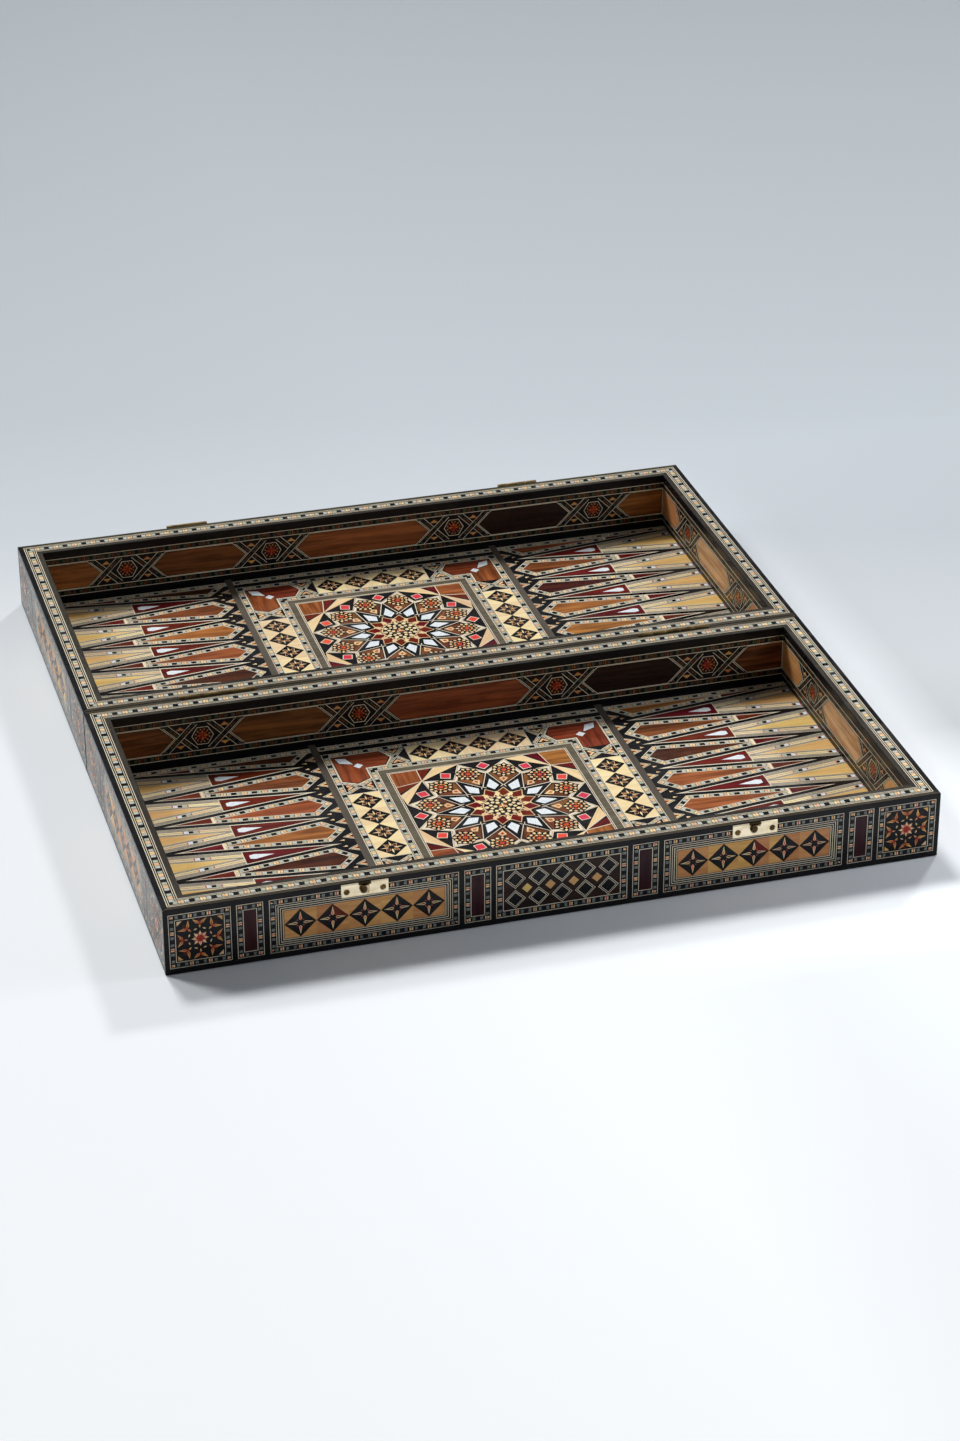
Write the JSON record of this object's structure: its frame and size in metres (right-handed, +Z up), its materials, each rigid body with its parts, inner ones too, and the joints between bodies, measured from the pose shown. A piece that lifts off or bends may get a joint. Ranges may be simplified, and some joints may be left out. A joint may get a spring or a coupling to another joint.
{
  "type": "inlaid games box",
  "caption": "Two inlaid wooden trays hinged along one long side: open as a backgammon board, shut by two brass hasps, with chess squares on the outside.",
  "frame": {"origin": "on the table, at the middle of the seam between the two open trays", "axes": "X runs along the seam and the long sides, +Y from the front tray to the back tray, +Z up out of the trays"},
  "size_m": [0.5, 0.5226, 0.0474],
  "materials": {
    "board_wood": "dark stained hardwood, satin lacquer",
    "plywood": "plain plywood",
    "ebony": "lacquered ebony",
    "lemonwood": "lacquered lemonwood",
    "walnut": "lacquered walnut",
    "padauk": "lacquered padauk",
    "outer_marquetry": "ebony ground with bone lines, pearl blocks and lemonwood panels, glossy lacquer",
    "inner_marquetry": "walnut panels between inlaid crossings, glossy lacquer",
    "rim_marquetry": "pearl and bone blocks between ebony strips, glossy lacquer",
    "floor_marquetry": "inlaid points and star, glossy lacquer",
    "brass": "pale pressed brass",
    "screw_brass": "tarnished brass"
  },
  "bodies": {
    "front_tray": {"front_outer_board": "board_wood", "front_hinge_board": "board_wood", "front_left_board": "board_wood", "front_right_board": "board_wood", "front_base_board": "plywood", "front_chess_border": "ebony", "front_light_squares": "lemonwood", "front_dark_squares": "walnut", "front_outer_face": "outer_marquetry", "front_hinge_face": "outer_marquetry", "front_left_face": "outer_marquetry", "front_right_face": "outer_marquetry", "front_long_linings": "inner_marquetry", "front_end_linings": "inner_marquetry", "front_rim": "rim_marquetry", "front_left_floor": "floor_marquetry", "front_right_floor": "floor_marquetry", "front_centre_floor": "floor_marquetry", "front_divider_strips": "ebony", "front_points": "lemonwood", "front_star": "padauk", "hinge_left_front_leaf": "brass", "hinge_right_front_leaf": "brass", "hinge_pins": "brass", "front_hinge_screws": "screw_brass", "catch_plate_left": "brass", "catch_plate_right": "brass", "catch_screws": "screw_brass"},
    "back_tray": {"back_outer_board": "board_wood", "back_hinge_board": "board_wood", "back_left_board": "board_wood", "back_right_board": "board_wood", "back_base_board": "plywood", "back_chess_border": "ebony", "back_light_squares": "lemonwood", "back_dark_squares": "walnut", "back_outer_face": "outer_marquetry", "back_hinge_face": "outer_marquetry", "back_left_face": "outer_marquetry", "back_right_face": "outer_marquetry", "back_long_linings": "inner_marquetry", "back_end_linings": "inner_marquetry", "back_rim": "rim_marquetry", "back_left_floor": "floor_marquetry", "back_right_floor": "floor_marquetry", "back_centre_floor": "floor_marquetry", "back_divider_strips": "ebony", "back_points": "lemonwood", "back_star": "padauk", "hinge_left_back_leaf": "brass", "hinge_right_back_leaf": "brass", "back_hinge_screws": "screw_brass", "hasp_plate_left": "brass", "hasp_plate_right": "brass", "hasp_pins": "brass", "hasp_screws": "screw_brass"},
    "left_hasp": {"hasp_tongue_left": "brass"},
    "right_hasp": {"hasp_tongue_right": "brass"}
  },
  "joints": [
    {"name": "lid_fold", "type": "hinge", "parent": "front_tray", "child": "back_tray", "pos_m": [0, 0, 0.0457], "axis": [1, 0, 0], "range_deg": [0, 180]},
    {"name": "left_hasp_swing", "type": "hinge", "parent": "back_tray", "child": "left_hasp", "pos_m": [-0.1255, 0.25995, 0.0451], "axis": [1, 0, 0], "range_deg": [0, 180]},
    {"name": "right_hasp_swing", "type": "hinge", "parent": "back_tray", "child": "right_hasp", "pos_m": [0.1255, 0.25995, 0.0451], "axis": [1, 0, 0], "range_deg": [0, 180]}
  ]
}
